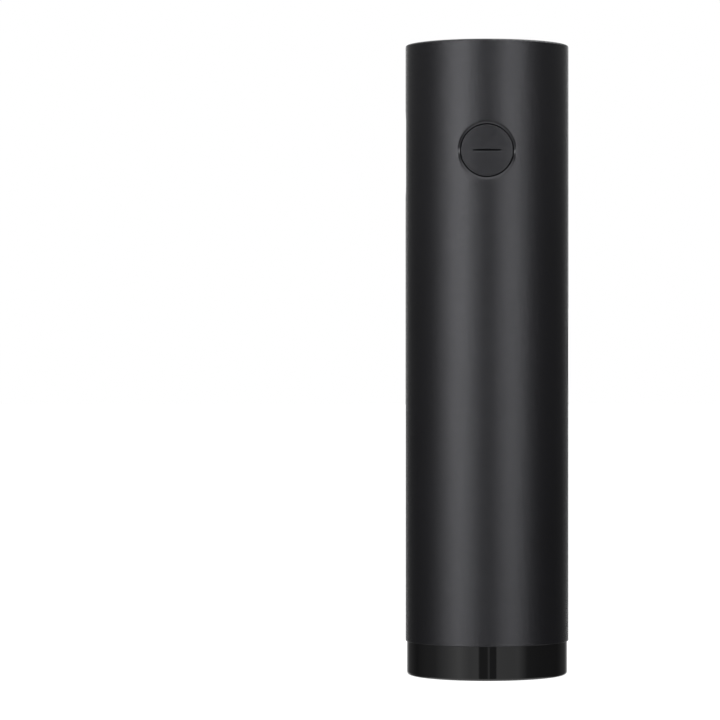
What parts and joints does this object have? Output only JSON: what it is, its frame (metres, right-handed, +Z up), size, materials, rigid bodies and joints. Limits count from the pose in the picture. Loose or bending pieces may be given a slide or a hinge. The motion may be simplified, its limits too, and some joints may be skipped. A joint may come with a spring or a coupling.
{
  "type": "electric wine opener",
  "caption": "Slim cordless electric wine opener: satin black cylinder with gloss foot ring, push button, oval window, stowed foil cutter and a geared worm inside.",
  "frame": {"origin": "centre of the foot ring's underside, on the opener's axis", "axes": "+Z up along the axis, from the bottle end to the cap; the button faces -Y; the window faces +X; the foil cutter faces 150 degrees round from +X towards +Y"},
  "size_m": [0.0486, 0.0486, 0.1867],
  "materials": {
    "satin_black": "satin soft-touch paint with a fine grain",
    "button_black": "satin, slightly smoother than the shell",
    "panel_black": "satin, as the shell",
    "gloss_black": "polished",
    "cap_black": "fine satin gloss",
    "lamp_lens": "frosted",
    "smoked_lens": "polished smoked plastic",
    "inner_black": "as moulded",
    "sleeve_black": "as moulded",
    "soft_pad": "soft",
    "inner_grey": "as moulded",
    "acetal_white": "as moulded",
    "planet_acetal": "as moulded",
    "bronze": "sintered",
    "plate_steel": "zinc plated",
    "screw_steel": "black zinc",
    "pin_steel": "ground",
    "spindle_steel": "sintered",
    "wheel_steel": "ground edge",
    "socket_steel": "drawn",
    "magnet_nickel": "nickel plated",
    "ferrite": "dull",
    "worm_coat": "smooth non-stick coating",
    "carriage_black": "as moulded",
    "board_green": "solder mask",
    "chip_black": "moulded",
    "battery_foil": "foil pouch",
    "lead_red": "insulated",
    "lead_black": "insulated"
  },
  "bodies": {
    "housing": {"outer_shell": "satin_black", "base_ring": "gloss_black", "top_cap": "cap_black", "charge_lens": "lamp_lens", "window_lens": "smoked_lens", "button_guide": "inner_black", "neck_sleeve": "sleeve_black", "neck_pad": "soft_pad", "cork_tube": "inner_grey", "feed_sleeve": "acetal_white", "output_plate": "inner_grey", "output_bush": "bronze", "thrust_washer": "acetal_white", "ring_gear_case": "acetal_white", "motor_mount": "plate_steel", "motor_can": "plate_steel", "motor_end_cap": "inner_black", "motor_magnets": "ferrite", "motor_screws": "screw_steel", "upper_frame": "inner_grey", "control_board": "board_green", "board_parts": "chip_black", "switch_body": "chip_black", "usb_socket": "socket_steel", "battery_cell": "battery_foil", "battery_leads": "lead_red", "motor_leads": "lead_black", "cutter_tray": "inner_black", "tray_plates": "plate_steel", "frame_screws": "screw_steel"},
    "button": {"button_cap": "button_black", "switch_plunger": "acetal_white"},
    "foil_cutter": {"cutter_body": "panel_black", "cutter_magnets": "magnet_nickel", "cutter_axles": "wheel_steel"},
    "cutter_wheel_1": {"cutter_wheel_1": "wheel_steel"},
    "cutter_wheel_2": {"cutter_wheel_2": "wheel_steel"},
    "rotor": {"motor_shaft": "pin_steel", "rotor_core": "ferrite", "motor_pinion": "bronze"},
    "carrier_1": {"first_carrier": "spindle_steel", "first_pins": "pin_steel"},
    "spindle": {"drive_tube": "spindle_steel", "spindle_screw": "screw_steel", "output_carrier": "spindle_steel", "output_pins": "pin_steel"},
    "worm_feed": {"worm": "worm_coat", "worm_carriage": "carriage_black", "carriage_lugs": "pin_steel"},
    "first_planet_1": {"first_planet_1": "planet_acetal"},
    "output_planet_1": {"output_planet_1": "planet_acetal"},
    "first_planet_2": {"first_planet_2": "planet_acetal"},
    "output_planet_2": {"output_planet_2": "planet_acetal"},
    "first_planet_3": {"first_planet_3": "planet_acetal"},
    "output_planet_3": {"output_planet_3": "planet_acetal"}
  },
  "joints": [
    {"name": "button_press", "type": "slide", "parent": "housing", "child": "button", "axis": [0, 1, 0], "range_m": [0, 0.0005], "stiffness_N_per_m": 3000},
    {"name": "cutter_slide", "type": "slide", "parent": "housing", "child": "foil_cutter", "axis": [-0.866, 0.5, 0], "range_m": [0, 0.03]},
    {"name": "motor_spin", "type": "hinge", "parent": "housing", "child": "rotor", "pos_m": [0, 0, 0.1614], "axis": [0, 0, -1], "range_deg": [0, 23328]},
    {"name": "carrier_spin", "type": "hinge", "parent": "housing", "child": "carrier_1", "pos_m": [0, 0, 0.13565], "axis": [0, 0, -1], "range_deg": [0, 3888]},
    {"name": "spindle_spin", "type": "hinge", "parent": "housing", "child": "spindle", "pos_m": [0, 0, 0.124], "axis": [0, 0, -1], "range_deg": [0, 648]},
    {"name": "worm_slide", "type": "slide", "parent": "spindle", "child": "worm_feed", "axis": [0, 0, -1], "range_m": [0, 0.018]},
    {"name": "cutter_wheel_1_spin", "type": "hinge", "parent": "foil_cutter", "child": "cutter_wheel_1", "pos_m": [-0.01061, 0.01515, 0.1544], "axis": [0, 0, 1], "continuous": true},
    {"name": "cutter_wheel_2_spin", "type": "hinge", "parent": "foil_cutter", "child": "cutter_wheel_2", "pos_m": [-0.01843, 0.00161, 0.1544], "axis": [0, 0, 1], "continuous": true},
    {"name": "first_planet_1_spin", "type": "hinge", "parent": "carrier_1", "child": "first_planet_1", "pos_m": [0.00675, 0, 0.1414], "axis": [0, 0, -1], "range_deg": [-9720, 0]},
    {"name": "output_planet_1_spin", "type": "hinge", "parent": "spindle", "child": "output_planet_1", "pos_m": [0.00675, 0, 0.1327], "axis": [0, 0, -1], "range_deg": [-1620, 0]},
    {"name": "first_planet_2_spin", "type": "hinge", "parent": "carrier_1", "child": "first_planet_2", "pos_m": [-0.00337, 0.00585, 0.1414], "axis": [0, 0, -1], "range_deg": [-9720, 0]},
    {"name": "output_planet_2_spin", "type": "hinge", "parent": "spindle", "child": "output_planet_2", "pos_m": [-0.00337, 0.00585, 0.1327], "axis": [0, 0, -1], "range_deg": [-1620, 0]},
    {"name": "first_planet_3_spin", "type": "hinge", "parent": "carrier_1", "child": "first_planet_3", "pos_m": [-0.00337, -0.00585, 0.1414], "axis": [0, 0, -1], "range_deg": [-9720, 0]},
    {"name": "output_planet_3_spin", "type": "hinge", "parent": "spindle", "child": "output_planet_3", "pos_m": [-0.00337, -0.00585, 0.1327], "axis": [0, 0, -1], "range_deg": [-1620, 0]}
  ],
  "couplings": [
    {"joint": "carrier_spin", "follows": "motor_spin", "ratio": 0.16667},
    {"joint": "spindle_spin", "follows": "motor_spin", "ratio": 0.027778},
    {"joint": "worm_slide", "follows": "motor_spin", "m_per_rad": 0.00004421},
    {"joint": "first_planet_1_spin", "follows": "motor_spin", "ratio": -0.41667},
    {"joint": "output_planet_1_spin", "follows": "motor_spin", "ratio": -0.069444},
    {"joint": "first_planet_2_spin", "follows": "motor_spin", "ratio": -0.41667},
    {"joint": "output_planet_2_spin", "follows": "motor_spin", "ratio": -0.069444},
    {"joint": "first_planet_3_spin", "follows": "motor_spin", "ratio": -0.41667},
    {"joint": "output_planet_3_spin", "follows": "motor_spin", "ratio": -0.069444}
  ]
}
